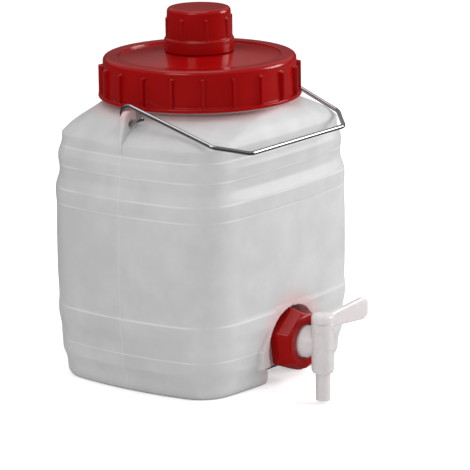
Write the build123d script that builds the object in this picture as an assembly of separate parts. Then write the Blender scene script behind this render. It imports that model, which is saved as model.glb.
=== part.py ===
from build123d import *
import math
import os

# Jerrycan with a wide screw lid, a small pour cap, a wire bail and a quarter turn tap.
# Millimetres. +Z is up, the base stands on z = 0, the tap is on the -Y face and the
# bail's ears are on the two X sides.

os.makedirs("parts", exist_ok=True)

# Can body: half sizes at the middle of its bowed faces, and the wall of the blow moulding.
HALF_X = 92.5
HALF_Y = 77.0
CORNER_R = 33.0
FACE_BOW = 3.0
WALL = 1.8

# Heights on the can body, and how far its bands lie inside the full outline.
BASE_INSET = 9.0
FOOT_INSET = 5.3
FOOT_TOP_Z = 14.5
LOW_BAND_Z = 26.9
PANEL_LOW_Z = 52.0
PANEL_HIGH_Z = 122.0
BAND_Z = 134.3
STEP_Z = 149.0
WAIST_Z = 163.0
WAIST_INSET = 5.3
SHOULDER_Z = 170.0
SHOULDER_RISE = 18.0

# Wide neck and its screw lid.
NECK_R = 62.5
NECK_TOP_Z = 214.0
GASKET_T = 1.4
THREAD_GAP = 1.4
LID_R = 66.0
LID_TOP_Z = 218.1
LID_WALL = 2.7
LIP_R = 69.6
LIP_Z = 190.2
DISC_R = 55.4
DISC_STEP = 1.2
DISC_RISE = 2.7
LID_RIBS = 20
LID_RIB_PHASE = 3.0
LID_RIB_WIDTH = 3.0
LID_RIB_R = 69.2

# Pour neck in the lid, and its cap.
POUR_R = 19.2
POUR_WALL = 2.4
CAP_COLLAR_R = 23.9
CAP_COLLAR_H = 8.4
CAP_R = 22.8
CAP_TOP_R = 21.6
CAP_H = 29.8
CAP_TOP_T = 1.9
CAP_RIBS = 8
CAP_RIB_PHASE = 5.5
LINER_T = 1.1

# Wire bail.
WIRE_R = 1.5
EAR_X = 78.0
EYE_R = 6.0
EYE_Z = 188.8
BAIL_Y = -84.0
BAIL_SLOPE = 17.7
BAIL_CORNER_R = 20.0
STUB_ANGLE = -114.0
STUB_L = 11.0

# Moulded ears.
EAR_T = 4.4
EAR_GAP = 3.0
EAR_TOP_GAP = 3.0
EAR_HOLE_R = 3.1
RIDGE_Z = 159.0

# Recess for the tap, and the arch through the foot under it.
NICHE_BACK_Y = -66.0
NICHE_HALF = 36.0
NICHE_TOP_Z = 54.5
NICHE_FLOOR_Z = 15.0
NICHE_DRAFT = 0.45
ARCH_HALF = 22.0
ARCH_Z = 9.5
ARCH_BACK_Y = -48.0

# Tap: spout, flange, nut, stem and sleeve.
TAP_Z = 28.4
SPOUT_R = 15.8
SPOUT_BORE_R = 12.5
SPOUT_Y = -79.5
TAP_GASKET_T = 1.5
FLANGE_R = 16.9
FLANGE_T = 2.8
NUT_CORNER_R = 23.7
NUT_PHASE = 98.0
NUT_BACK_Y = -72.0
NUT_FRONT_T = 3.5
STEM_R = 11.3
STEM_GAP = 0.6
SLEEVE_Y = -101.0
SLEEVE_R = 7.7
SLEEVE_LOW_Z = 8.8
SLEEVE_TOP_Z = 43.4
LIP_T = 2.4

# Tap plug with its lever.
PLUG_R = 5.85
RUN_GAP = 0.05
NOZZLE_R = 4.9
NOZZLE_Z = -10.7
WATERWAY_R = 2.8
LEVER_X = 52.0
LEVER_T = 4.6
LEVER_TOP_Z = 48.0
LEVER_LOW_Z = 38.4
LEVER_FLARE = 3.5
SEAT_GAP = 0.1


def rounded_face(points):
    """Closed outline of (x, y, corner radius) points in the XY plane."""
    count = len(points)
    corners = []
    for i in range(count):
        x, y, r = points[i]
        here = Vector(x, y)
        back = (Vector(*points[i - 1][:2]) - here).normalized()
        ahead = (Vector(*points[(i + 1) % count][:2]) - here).normalized()
        if r <= 0:
            corners.append((here, None, here))
            continue
        half = math.acos(max(-1.0, min(1.0, back.dot(ahead)))) / 2
        centre = here + (back + ahead).normalized() * (r / math.sin(half))
        reach = r / math.tan(half)
        middle = centre + (here - centre).normalized() * r
        corners.append((here + back * reach, middle, here + ahead * reach))
    edges = []
    for i in range(count):
        start, middle, end = corners[i]
        if middle is not None:
            edges.append(ThreePointArc(start, middle, end))
        following = corners[(i + 1) % count][0]
        if (following - end).length > 1e-6:
            edges.append(Line(end, following))
    return make_face(edges)


def turned(points):
    """Solid of revolution about Z from (radius, z, corner radius) points."""
    return revolve(Plane.XZ * rounded_face(points), Axis.Z, 360)


def turned_on_stem(points):
    """Solid of revolution about the tap's stem from (radius, y, corner radius) points."""
    face = Pos(0, 0, TAP_Z) * rounded_face(points)
    return revolve(face, Axis((0, 0, TAP_Z), (0, 1, 0)), 360)


def standing_cylinder(r, low, high):
    return Pos(0, 0, low) * Cylinder(r, high - low, align=(Align.CENTER, Align.CENTER, Align.MIN))


def stem_cylinder(r, front, back):
    """Cylinder on the tap's stem between two Y values."""
    return Pos(0, back, TAP_Z) * Rot(90, 0, 0) * Cylinder(
        r, back - front, align=(Align.CENTER, Align.CENTER, Align.MIN)
    )


def block(x0, x1, y0, y1, z0, z1):
    return Pos((x0 + x1) / 2, (y0 + y1) / 2, (z0 + z1) / 2) * Box(x1 - x0, y1 - y0, z1 - z0)


def outline_arcs():
    """Eight tangent arcs (centre x, centre y, radius, start angle, end angle) of the outline."""
    run_x = HALF_X - CORNER_R - FACE_BOW
    run_y = HALF_Y - CORNER_R - FACE_BOW
    side_r = (run_y**2 + FACE_BOW**2) / (2 * FACE_BOW)
    front_r = (run_x**2 + FACE_BOW**2) / (2 * FACE_BOW)
    side_x = HALF_X - side_r
    front_y = HALF_Y - front_r
    reach_side = side_r - CORNER_R
    reach_front = front_r - CORNER_R
    apart = math.hypot(side_x, front_y)
    along = (reach_side**2 - reach_front**2 + apart**2) / (2 * apart)
    across = math.sqrt(reach_side**2 - along**2)
    ux, uy = -side_x / apart, front_y / apart
    corner_x = side_x + along * ux - across * uy
    corner_y = along * uy + across * ux
    if corner_x < 0 or corner_y < 0:
        corner_x = side_x + along * ux + across * uy
        corner_y = along * uy - across * ux
    low = math.degrees(math.atan2(corner_y, corner_x - side_x))
    high = math.degrees(math.atan2(corner_y - front_y, corner_x))
    return [
        (side_x, 0.0, side_r, -low, low),
        (corner_x, corner_y, CORNER_R, low, high),
        (0.0, front_y, front_r, high, 180 - high),
        (-corner_x, corner_y, CORNER_R, 180 - high, 180 - low),
        (-side_x, 0.0, side_r, 180 - low, 180 + low),
        (-corner_x, -corner_y, CORNER_R, 180 + low, 180 + high),
        (0.0, -front_y, front_r, 180 + high, 360 - high),
        (corner_x, -corner_y, CORNER_R, 360 - high, 360 - low),
    ]


ARCS = outline_arcs()


def section(z, inset, blend=1.0, round_r=NECK_R):
    """Outline at height z, moved inwards by inset; blend 1 is the can, 0 is a circle."""

    def at(arc, angle):
        cx, cy, r, _, _ = arc
        r = round_r + blend * (r - inset - round_r)
        a = math.radians(angle)
        return Vector(blend * cx + r * math.cos(a), blend * cy + r * math.sin(a), z)

    knots = [at(arc, arc[3]) for arc in ARCS]
    edges = []
    for i, arc in enumerate(ARCS):
        middle = at(arc, (arc[3] + arc[4]) / 2)
        edges.append(ThreePointArc(knots[i], middle, knots[(i + 1) % len(ARCS)]))
    return Wire(edges)


# Share of the can's outline left at each share of the shoulder's rise.
SHOULDER = [(0.0, 1.0), (0.11, 0.923), (0.26, 0.823), (0.4, 0.688), (0.54, 0.527),
            (0.68, 0.357), (0.83, 0.199), (1.0, 0.0)]


def can_form(profile, drop, inset, round_r, top):
    """Solid from banded sides, a blended shoulder and a round neck."""
    sides = [section(z, d) for z, d in profile]
    solid = Solid.make_loft(sides, ruled=True)
    shoulder = []
    for rise, blend in SHOULDER:
        z = SHOULDER_Z - drop + rise * SHOULDER_RISE
        shoulder.append(section(z, inset, blend, round_r))
    solid += Solid.make_loft(shoulder, ruled=True)
    neck_low = SHOULDER_Z - drop + SHOULDER_RISE
    return solid + standing_cylinder(round_r, neck_low, top)


def outer_profile():
    panel = PANEL_HIGH_Z - PANEL_LOW_Z
    return [
        (0.0, BASE_INSET),
        (1.2, FOOT_INSET + 1.9),
        (2.8, FOOT_INSET + 0.7),
        (5.2, FOOT_INSET + 0.1),
        (FOOT_TOP_Z - 3.0, FOOT_INSET),
        (FOOT_TOP_Z, 4.4),
        (FOOT_TOP_Z + 3.5, 2.4),
        (LOW_BAND_Z - 0.5, 2.4),
        (LOW_BAND_Z + 0.5, 1.9),
        (LOW_BAND_Z + 9.0, 1.9),
        (PANEL_LOW_Z - 9.0, 0.2),
        (PANEL_LOW_Z - 0.4, 0.0),
        (PANEL_LOW_Z + 2.0, 0.75),
        (PANEL_LOW_Z + 0.32 * panel, 0.1),
        (PANEL_LOW_Z + 0.75 * panel, 0.1),
        (PANEL_HIGH_Z - 1.0, 0.6),
        (PANEL_HIGH_Z, 0.9),
        (PANEL_HIGH_Z + 2.0, 0.1),
        (BAND_Z, 0.1),
        (BAND_Z + 7.5, 3.1),
        (STEP_Z - 0.6, 3.2),
        (STEP_Z + 0.6, 2.3),
        (WAIST_Z - 6.0, 2.2),
        (WAIST_Z, WAIST_INSET - 0.1),
        (SHOULDER_Z, WAIST_INSET),
    ]


def inner_profile(drop):
    return [
        (WALL + 0.4, BASE_INSET + WALL),
        (7.0, FOOT_INSET + WALL + 0.3),
        (FOOT_TOP_Z + 0.5, FOOT_INSET + WALL),
        (FOOT_TOP_Z + 5.0, 2.4 + WALL),
        (LOW_BAND_Z + 9.0, 2.4 + WALL),
        (PANEL_LOW_Z - 7.0, 0.8 + WALL),
        (BAND_Z - 1.5, 0.9 + WALL),
        (BAND_Z + 7.0, 3.4 + WALL),
        (WAIST_Z - 6.5, 3.1 + WALL),
        (WAIST_Z - 1.5, WAIST_INSET + WALL),
        (SHOULDER_Z - drop, WAIST_INSET + WALL),
    ]


def niche(grow):
    """Arched recess that flares towards the front, with the arch through the foot."""

    def arch(y, extra):
        half = NICHE_HALF + extra
        top = NICHE_TOP_Z + extra
        low = NICHE_FLOOR_Z - extra * 0.4
        points = [
            (half - 1.5, low), (half, 27.0), (half - 3.0, 39.0), (half - 6.5, top - 7.5),
            (half - 13.0, top - 2.6), (half - 23.0, top - 0.4),
        ]
        points += [(-x, z) for x, z in reversed(points)]
        return Wire([Line((x, y, z), (points[(i + 1) % 12][0], y, points[(i + 1) % 12][1]))
                     for i, (x, z) in enumerate(points)])

    back = NICHE_BACK_Y + grow
    front = -HALF_Y - 20.0
    spread = lambda y: (-HALF_Y - y) * NICHE_DRAFT + grow
    solid = Solid.make_loft([arch(front, spread(front)), arch(back, spread(back))], ruled=True)
    solid += block(-ARCH_HALF - grow, ARCH_HALF + grow, front, back, -1.0, NICHE_FLOOR_Z + 3.0)
    half = ARCH_HALF - 2.0 + grow
    low_arch = rounded_face([(-half, -1.0, 0), (half, -1.0, 0), (half, ARCH_Z + grow, 4.0),
                             (-half, ARCH_Z + grow, 4.0)])
    reach = ARCH_BACK_Y + grow - front
    solid += extrude(Plane((0, front, 0), x_dir=(1, 0, 0), z_dir=(0, -1, 0)) * low_arch, -reach)
    return solid


def ear(side):
    """Upright fin with the bail's hole, running down the shoulder as a ridge."""
    top = EYE_Z + EAR_TOP_GAP
    inner = LIP_R + EAR_GAP
    outer = HALF_X - WAIST_INSET
    points = [
        (inner, SHOULDER_Z + 4.0, 0), (outer - 2.0, RIDGE_Z, 0), (outer + 2.0, RIDGE_Z + 2.0, 0),
        (outer + 1.6, SHOULDER_Z + 2.0, 4.0), (outer, EYE_Z - 7.0, 6.0), (EAR_X + 6.5, top, 5.5),
        (inner, top, 3.5),
    ]
    plate = extrude(Plane.XZ * rounded_face(points), EAR_T / 2, both=True)
    hole = Pos(EAR_X, 0, EYE_Z - EYE_R) * Rot(90, 0, 0) * Cylinder(EAR_HOLE_R, 4 * EAR_T)
    plate = plate - hole
    long_edges = plate.edges().filter_by(GeomType.CIRCLE).sort_by(SortBy.RADIUS)
    if side < 0:
        plate = mirror(plate, Plane.YZ)
    return plate


def ear_hole(side):
    return Pos(side * EAR_X, 0, EYE_Z - EYE_R) * Rot(90, 0, 0) * Cylinder(EAR_HOLE_R, 4 * EAR_T)


def can_body():
    drop = WALL * 0.9
    outer = can_form(outer_profile(), 0.0, WAIST_INSET, NECK_R, NECK_TOP_Z)
    for side in (-1, 1):
        outer += ear(side)
    outer -= niche(0.0)
    outer += stem_cylinder(SPOUT_R, SPOUT_Y, NICHE_BACK_Y + 0.5 * WALL)
    inner_r = NECK_R - WALL - 0.4
    inner = can_form(inner_profile(drop), drop, WAIST_INSET + WALL, inner_r, NECK_TOP_Z + 1.0)
    inner -= niche(WALL)
    can = outer - inner
    return can - stem_cylinder(SPOUT_BORE_R, SPOUT_Y - 1.0, NICHE_BACK_Y + 5 * WALL)


def lid():
    under = NECK_TOP_Z + GASKET_T
    bore = NECK_R + THREAD_GAP
    disc_z = LID_TOP_Z - DISC_STEP
    boss_z = disc_z + DISC_RISE + 0.9
    pour_top = cap_base_z() + CAP_H - CAP_TOP_T - LINER_T
    shape = turned([
        (POUR_R - POUR_WALL, pour_top, 0.4), (POUR_R, pour_top, 0.6), (POUR_R, boss_z + 0.2, 0),
        (CAP_COLLAR_R, boss_z, 0), (DISC_R, disc_z, 0), (DISC_R + 0.2, LID_TOP_Z, 0.5),
        (LID_R, LID_TOP_Z, 3.0), (LID_R + 0.9, LIP_Z + 3.0, 0), (LIP_R - 0.2, LIP_Z + 2.4, 0),
        (LIP_R, LIP_Z + 0.7, 0), (LIP_R - 0.7, LIP_Z, 0), (bore + 0.8, LIP_Z, 0),
        (bore, LIP_Z + 1.8, 0), (bore, under, 0), (DISC_R - 1.4, under, 0),
        (POUR_R + 1.8, boss_z - 2.0, 0), (POUR_R - POUR_WALL, boss_z - 2.0, 0),
    ])
    rib_top = LID_TOP_Z - 5.5
    half = LID_RIB_WIDTH / 2
    rib = rounded_face([(-half, LIP_Z + 1.0, 0), (half, LIP_Z + 1.0, 0),
                        (half, rib_top, half * 0.98), (-half, rib_top, half * 0.98)])
    rib = extrude(Plane((LID_R - 1.2, 0, 0), x_dir=(0, 1, 0), z_dir=(1, 0, 0)) * rib,
                  LID_RIB_R - LID_R + 1.2)
    ribs = [Rot(0, 0, LID_RIB_PHASE + i * 360 / LID_RIBS) * rib for i in range(LID_RIBS)]
    return shape + ribs


def cap_base_z():
    return LID_TOP_Z - DISC_STEP + DISC_RISE + 1.3


def pour_cap():
    low = cap_base_z()
    shoulder = low + CAP_COLLAR_H
    top = low + CAP_H
    ceiling = top - CAP_TOP_T
    shape = turned([
        (0, ceiling, 0), (0, top, 0), (CAP_TOP_R, top, 2.6), (CAP_R, shoulder + 1.2, 0),
        (CAP_COLLAR_R, shoulder, 0.4), (CAP_COLLAR_R, low + 0.5, 0), (CAP_COLLAR_R - 0.5, low, 0),
        (POUR_R + 1.4, low, 0), (POUR_R + 0.7, low + 2.0, 0), (POUR_R + 0.5, ceiling, 0.3),
    ])
    half = 1.1
    rib_low, rib_top = shoulder - 0.5, low + 24.0
    rib = rounded_face([(-half, rib_low, 0), (half, rib_low, 0), (half, rib_top, half * 0.95),
                        (-half, rib_top, half * 0.95)])
    reach = CAP_R + 0.55
    rib = extrude(Plane((CAP_TOP_R - 1.0, 0, 0), x_dir=(0, 1, 0), z_dir=(1, 0, 0)) * rib,
                  reach - CAP_TOP_R + 1.0)
    ribs = [Rot(0, 0, CAP_RIB_PHASE + i * 360 / CAP_RIBS) * rib for i in range(CAP_RIBS)]
    return shape + ribs


def lid_gasket():
    ring = standing_cylinder(NECK_R - 0.2, NECK_TOP_Z, NECK_TOP_Z + GASKET_T)
    return ring - standing_cylinder(NECK_R - 3.6, NECK_TOP_Z - 1, NECK_TOP_Z + GASKET_T + 1)


def pour_cap_liner():
    high = cap_base_z() + CAP_H - CAP_TOP_T
    return standing_cylinder(POUR_R + 0.2, high - LINER_T, high)


def bail():
    """Wire from one ear's eye, along the arm, across the front and back to the other ear."""
    lean = math.radians(BAIL_SLOPE)
    top_angle = 90.0 + BAIL_SLOPE

    def eye(angle, x):
        a = math.radians(angle)
        return Vector(x, EYE_R * math.cos(a), EYE_Z + EYE_R * math.sin(a))

    down = Vector(0, -math.cos(lean), -math.sin(lean))
    start = math.radians(STUB_ANGLE)
    stub = Vector(0, math.sin(start), -math.cos(start))
    x = EAR_X
    arm_top = eye(top_angle, x)
    arm_l = (arm_top.Y - BAIL_Y) / math.cos(lean)
    corner = arm_top + down * arm_l
    bend = corner - down * BAIL_CORNER_R + Vector(-BAIL_CORNER_R, 0, 0)
    knee = bend + (down + Vector(1, 0, 0)).normalized() * BAIL_CORNER_R
    eye_start = eye(STUB_ANGLE, x)
    tip = eye_start + stub * STUB_L
    arm_end = corner - down * BAIL_CORNER_R
    bar_end = corner - Vector(BAIL_CORNER_R, 0, 0)

    def across(v):
        return Vector(-v.X, v.Y, v.Z)

    half = [
        Line(tip, eye_start),
        ThreePointArc(eye_start, eye((STUB_ANGLE + top_angle) / 2, x), arm_top),
        Line(arm_top, arm_end),
        ThreePointArc(arm_end, knee, bar_end),
    ]
    other = [
        ThreePointArc(across(bar_end), across(knee), across(arm_end)),
        Line(across(arm_end), across(arm_top)),
        ThreePointArc(across(arm_top), across(eye((STUB_ANGLE + top_angle) / 2, x)),
                      across(eye_start)),
        Line(across(eye_start), across(tip)),
    ]
    path = Wire(half + [Line(bar_end, across(bar_end))] + other)
    wire = sweep(Plane(tip, z_dir=-stub) * Circle(WIRE_R), path=path)
    return wire


def nut():
    front = flange_front() - NUT_FRONT_T
    corners = []
    for i in range(6):
        a = math.radians(NUT_PHASE + 60 * i)
        corners.append((NUT_CORNER_R * math.cos(a), NUT_CORNER_R * math.sin(a), 2.0))
    hexagon = extrude(Plane((0, front, TAP_Z), x_dir=(1, 0, 0), z_dir=(0, -1, 0))
                      * rounded_face(corners), front - NUT_BACK_Y)
    big = NUT_CORNER_R + 2.0
    dome = turned_on_stem([
        (0, NUT_BACK_Y + 1, 0), (0, front, 0), (NUT_CORNER_R - 6.4, front, 1.2),
        (NUT_CORNER_R - 4.0, front + 1.9, 0), (NUT_CORNER_R - 3.3, front + 5.4, 0),
        (big, front + 7.6, 0), (big, NUT_BACK_Y + 1, 0),
    ])
    shape = hexagon & dome
    shape -= stem_cylinder(STEM_R + STEM_GAP, front - 1, NUT_BACK_Y + 1)
    return shape - stem_cylinder(FLANGE_R + 0.4, flange_front(), NUT_BACK_Y + 1)


def flange_front():
    return SPOUT_Y - TAP_GASKET_T - FLANGE_T


def tap_gasket():
    front = SPOUT_Y - TAP_GASKET_T
    return stem_cylinder(SPOUT_R + 0.8, front, SPOUT_Y) - stem_cylinder(SPOUT_BORE_R - 0.3, front - 1,
                                                                        SPOUT_Y + 1)


def at_sleeve(shape):
    return Pos(0, SLEEVE_Y, 0) * shape


def tap_body():
    face = flange_front()
    root = SPOUT_Y + 7.5
    spigot = SPOUT_BORE_R - 0.7
    body = turned_on_stem([
        (0, root, 0), (spigot, root, 1.0), (spigot, face + FLANGE_T, 0),
        (FLANGE_R, face + FLANGE_T, 0.3), (FLANGE_R, face, 0.3), (STEM_R, face, 0),
        (STEM_R - 0.3, face - 5.5, 0), (SLEEVE_R - 0.9, SLEEVE_Y + 3.4, 0), (0, SLEEVE_Y + 3.4, 0),
    ])
    body += stem_cylinder(SLEEVE_R - 0.9, SLEEVE_Y, SLEEVE_Y + 4.0)
    body += at_sleeve(turned([
        (0, SLEEVE_LOW_Z, 0), (SLEEVE_R - 1.0, SLEEVE_LOW_Z, 0), (SLEEVE_R, SLEEVE_LOW_Z + 2.2, 0),
        (SLEEVE_R, SLEEVE_TOP_Z - 0.6, 0), (SLEEVE_R - 0.6, SLEEVE_TOP_Z, 0), (0, SLEEVE_TOP_Z, 0),
    ]))
    barrel = PLUG_R + RUN_GAP
    body -= at_sleeve(standing_cylinder(barrel, SLEEVE_LOW_Z + LIP_T, SLEEVE_TOP_Z + 1))
    body -= at_sleeve(standing_cylinder(NOZZLE_R + RUN_GAP, SLEEVE_LOW_Z - 1, SLEEVE_LOW_Z + LIP_T + 1))
    return body - stem_cylinder(WATERWAY_R, SLEEVE_Y, root + 1)


def tap_plug():
    low = SLEEVE_LOW_Z + LIP_T + SEAT_GAP
    head = SLEEVE_TOP_Z + SEAT_GAP
    crown = LEVER_TOP_Z + 1.4
    bead = SLEEVE_LOW_Z - SEAT_GAP
    plug = turned([
        (0, NOZZLE_Z, 0), (NOZZLE_R - 0.4, NOZZLE_Z, 0), (NOZZLE_R, NOZZLE_Z + 0.6, 0),
        (NOZZLE_R, bead - 0.9, 0), (NOZZLE_R + 0.35, bead - 0.4, 0), (NOZZLE_R + 0.35, bead, 0),
        (NOZZLE_R, bead, 0), (NOZZLE_R, low, 0), (PLUG_R, low, 0), (PLUG_R, head, 0),
        (SLEEVE_R, head, 0), (SLEEVE_R, crown, 2.6), (0, crown, 0),
    ])
    inner = SLEEVE_R + 0.7
    end = LEVER_X
    top = LEVER_TOP_Z + LEVER_FLARE
    bottom = LEVER_LOW_Z - LEVER_FLARE
    paddle = rounded_face([
        (2.0, head, 0), (inner, head, 0), (inner, LEVER_LOW_Z, 1.5), (end, bottom, 6.5),
        (end, top, 6.5), (2.0, LEVER_TOP_Z, 0),
    ])
    plug += extrude(Plane.XZ * paddle, LEVER_T / 2, both=True)
    plug -= standing_cylinder(WATERWAY_R, NOZZLE_Z - 1, TAP_Z + WATERWAY_R)
    port = Pos(0, 0, TAP_Z) * Rot(0, -90, 0) * Cylinder(
        WATERWAY_R, 2 * PLUG_R, align=(Align.CENTER, Align.CENTER, Align.MIN)
    )
    return at_sleeve(plug - port)


PARTS = {
    "can_body": can_body,
    "lid": lid,
    "lid_gasket": lid_gasket,
    "pour_cap": pour_cap,
    "pour_cap_liner": pour_cap_liner,
    "bail": bail,
    "tap_body": tap_body,
    "tap_gasket": tap_gasket,
    "tap_nut": nut,
    "tap_plug": tap_plug,
}

for name, make in PARTS.items():
    export_step(make(), f"parts/{name}.step")
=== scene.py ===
"""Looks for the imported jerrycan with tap: moulded can, red screw lid and cap, wire bail, lever tap.

Lengths are millimetres until MM turns a finished mesh into metres. +Z is up, the tap is on -Y.
"""

import math

import bpy
import numpy as np
from mathutils import Matrix, Vector


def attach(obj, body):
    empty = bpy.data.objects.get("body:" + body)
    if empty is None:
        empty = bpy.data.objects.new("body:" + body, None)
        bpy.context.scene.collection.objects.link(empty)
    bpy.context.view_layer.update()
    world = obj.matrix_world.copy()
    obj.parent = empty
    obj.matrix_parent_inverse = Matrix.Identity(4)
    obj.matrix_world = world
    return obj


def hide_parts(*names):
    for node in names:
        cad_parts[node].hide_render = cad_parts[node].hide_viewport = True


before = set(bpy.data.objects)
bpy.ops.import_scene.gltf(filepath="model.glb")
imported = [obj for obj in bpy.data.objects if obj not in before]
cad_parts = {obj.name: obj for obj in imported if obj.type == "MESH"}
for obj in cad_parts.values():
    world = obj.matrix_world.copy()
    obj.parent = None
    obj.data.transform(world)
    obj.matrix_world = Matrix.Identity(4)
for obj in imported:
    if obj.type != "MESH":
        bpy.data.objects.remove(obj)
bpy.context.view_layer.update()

MM = 0.001
PI = math.pi
TURN = 2 * math.pi

# Can: half sizes of the outline, its corner radius, the bow of its faces and the wall.
HALF_X, HALF_Y = 92.5, 77.0
CORNER_R = 33.0
FACE_BOW = 3.0
WALL = 1.8

# Can, upwards: how far base and waist lie inside the outline, then the shoulder and the neck.
BASE_INSET = 9.0
WAIST_INSET = 5.3
SHOULDER_Z = 170.0
SHOULDER_RISE = 18.0
NECK_R = 62.5
NECK_BORE_R = NECK_R - WALL - 0.4
NECK_TOP_Z = 214.0
NECK_THREAD_H = 1.05
BEAD_H = 0.22
BEAD_HALF = 0.45
LEAST_INSET = 0.03

# Height and inset of the can's banded sides, from the base to the shoulder.
SIDES = np.array([
    (0.0, 9.0), (0.5, 8.0), (1.5, 6.9), (3.0, 6.0), (5.2, 5.4), (11.5, 5.3), (14.5, 4.4), (18.0, 2.4),
    (26.4, 2.4), (27.4, 1.9), (36.0, 1.9), (43.0, 0.2), (51.6, 0.0), (54.0, 0.75), (74.4, 0.1),
    (104.5, 0.1), (121.0, 0.6), (122.0, 0.9), (124.0, 0.1), (134.3, 0.1), (141.8, 3.1), (148.4, 3.2),
    (149.6, 2.3), (157.0, 2.2), (163.0, 5.2), (170.0, 5.3),
])

# Height and inset of the can's inner walls, downwards.
INNER_SIDES = (
    (157, 4.9), (141, 5.2), (132, 2.7), (90, 2.7), (60, 2.7), (56, 2.7), (52, 2.7), (48, 2.8), (44, 3.0),
    (40, 3.8), (36, 4.2), (30, 4.2), (24, 4.3), (19, 4.4), (15, 7.1), (12, 7.2), (9, 7.4), (6, 7.8),
    (2.2, 10.8),
)

# Share of the can's outline that is left at each share of the shoulder's rise.
SHOULDER = np.array([(0.0, 1.0), (0.11, 0.923), (0.26, 0.823), (0.4, 0.688), (0.54, 0.527),
                     (0.68, 0.357), (0.83, 0.199), (1.0, 0.0)])

# Round pocket for the tap, the flat patch round it, and the arch through the foot.
POCKET_BACK_Y = -66.0
POCKET_R = 27.5
POCKET_Z = 24.5
POCKET_DRAFT = 0.12
PATCH_Y = -76.6
PATCH_EDGE = ((10, 36.0), (16, 36.4), (27, 36.4), (28.6, 34.5), (34.5, 29.8), (41.3, 26.2), (50.5, 23.2),
              (53.6, 19.0), (54.6, 0.0))
ARCH_HALF = 22.0
ARCH_Z = 9.5
ARCH_BACK_Y = -48.0

# Wide lid, from its skirt to the disc and the boss under the pour cap.
LID_R = 66.0
LID_BORE_R = 63.9
LID_CEILING_Z = 215.4
LID_TOP_Z = 218.1
LIP_R = 69.6
LIP_Z = 190.2
DISC_R = 55.4
DISC_Z = 216.9
BOSS_Z = 220.5
LID_RIBS = 20
LID_RIB_PHASE = 3.0
LID_RIB_HALF = 1.5
LID_RIB_R = 69.2

# Pour neck and its cap.
POUR_R = 19.2
POUR_BORE_R = POUR_R - 2.4
POUR_TOP_Z = 247.8
CAP_Z = 220.9
CAP_TOP_Z = CAP_Z + 29.8
CAP_SHOULDER_Z = CAP_Z + 8.4
CAP_CEILING_Z = CAP_TOP_Z - 1.9
CAP_COLLAR_R = 23.9
CAP_R = 22.8
CAP_TOP_R = 21.6
CAP_RIBS = 8
CAP_RIB_PHASE = 5.5
CAP_RIB_HALF = 1.1
CAP_RIB_R = 23.3

# Bail: an eye round each ear, arms that come together, two small bends at each corner.
WIRE_R = 1.5
EAR_X = 78.0
EAR_HOLE_R = 3.1
EAR_HALF_T = 2.2
EYE_R = 6.0
EYE_Z = 188.8
BAIL_Y = -84.0
BAIL_SLOPE = 17.7
BAIL_CORNER_X = 73.5
BAIL_BENT_IN = 6.0
BAIL_CHAMFER = 18.0
BAIL_BEND_R = 8.0
STUB_ANGLE = -114.0
STUB_L = 11.0

# Tap: its stem lies along Y at TAP_Z, its sleeve stands at SLEEVE_Y.
TAP_Z = 28.4
SPOUT_R = 15.8
SPOUT_BORE_R = 12.5
SPOUT_REACH = 79.5
SLEEVE_Y = -101.0
SLEEVE_R = 7.7
SLEEVE_LOW_Z = 8.8
SLEEVE_TOP_Z = 43.4
NUT_PHASE = 98.0
NOZZLE_R = 4.9
NOZZLE_Z = -10.7
WATERWAY_R = 2.8
LEVER_X = 52.0
LEVER_END_R = 8.0


# Meshes


def surface(name, grid, loop=False):
    """Mesh of a (rows, columns, 3) grid in mm whose columns go round; rows loop, or end in poles.

    The direction along a row crossed with the direction to the next row points outwards.
    """
    rows, cols = grid.shape[:2]
    points = grid.reshape(-1, 3)
    r = np.arange(rows if loop else rows - 1)[:, None]
    c = np.arange(cols)[None, :]
    right, up = (c + 1) % cols, (r + 1) % rows
    quads = np.stack([r * cols + c, r * cols + right, up * cols + right, up * cols + c], -1)
    faces = quads.reshape(-1, 4).tolist()
    if not loop:
        low, high = len(points), len(points) + 1
        points = np.concatenate([points, grid[0].mean(0)[None], grid[-1].mean(0)[None]])
        a, b = np.arange(cols), (np.arange(cols) + 1) % cols
        top = (rows - 1) * cols
        faces += np.stack([b, a, np.full(cols, low)], -1).tolist()
        faces += np.stack([top + a, top + b, np.full(cols, high)], -1).tolist()
    piece = linked(name, points, faces)
    piece.data.set_sharp_from_angle(angle=math.radians(50))
    piece.data.update()
    return piece


def linked(name, points, faces):
    """Smooth-shaded object in the scene from points in mm and faces."""
    mesh = bpy.data.meshes.new(name)
    mesh.from_pydata((points * MM).tolist(), [], faces)
    mesh.polygons.foreach_set("use_smooth", np.ones(len(mesh.polygons), bool))
    piece = bpy.data.objects.new(name, mesh)
    bpy.context.scene.collection.objects.link(piece)
    return piece


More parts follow.
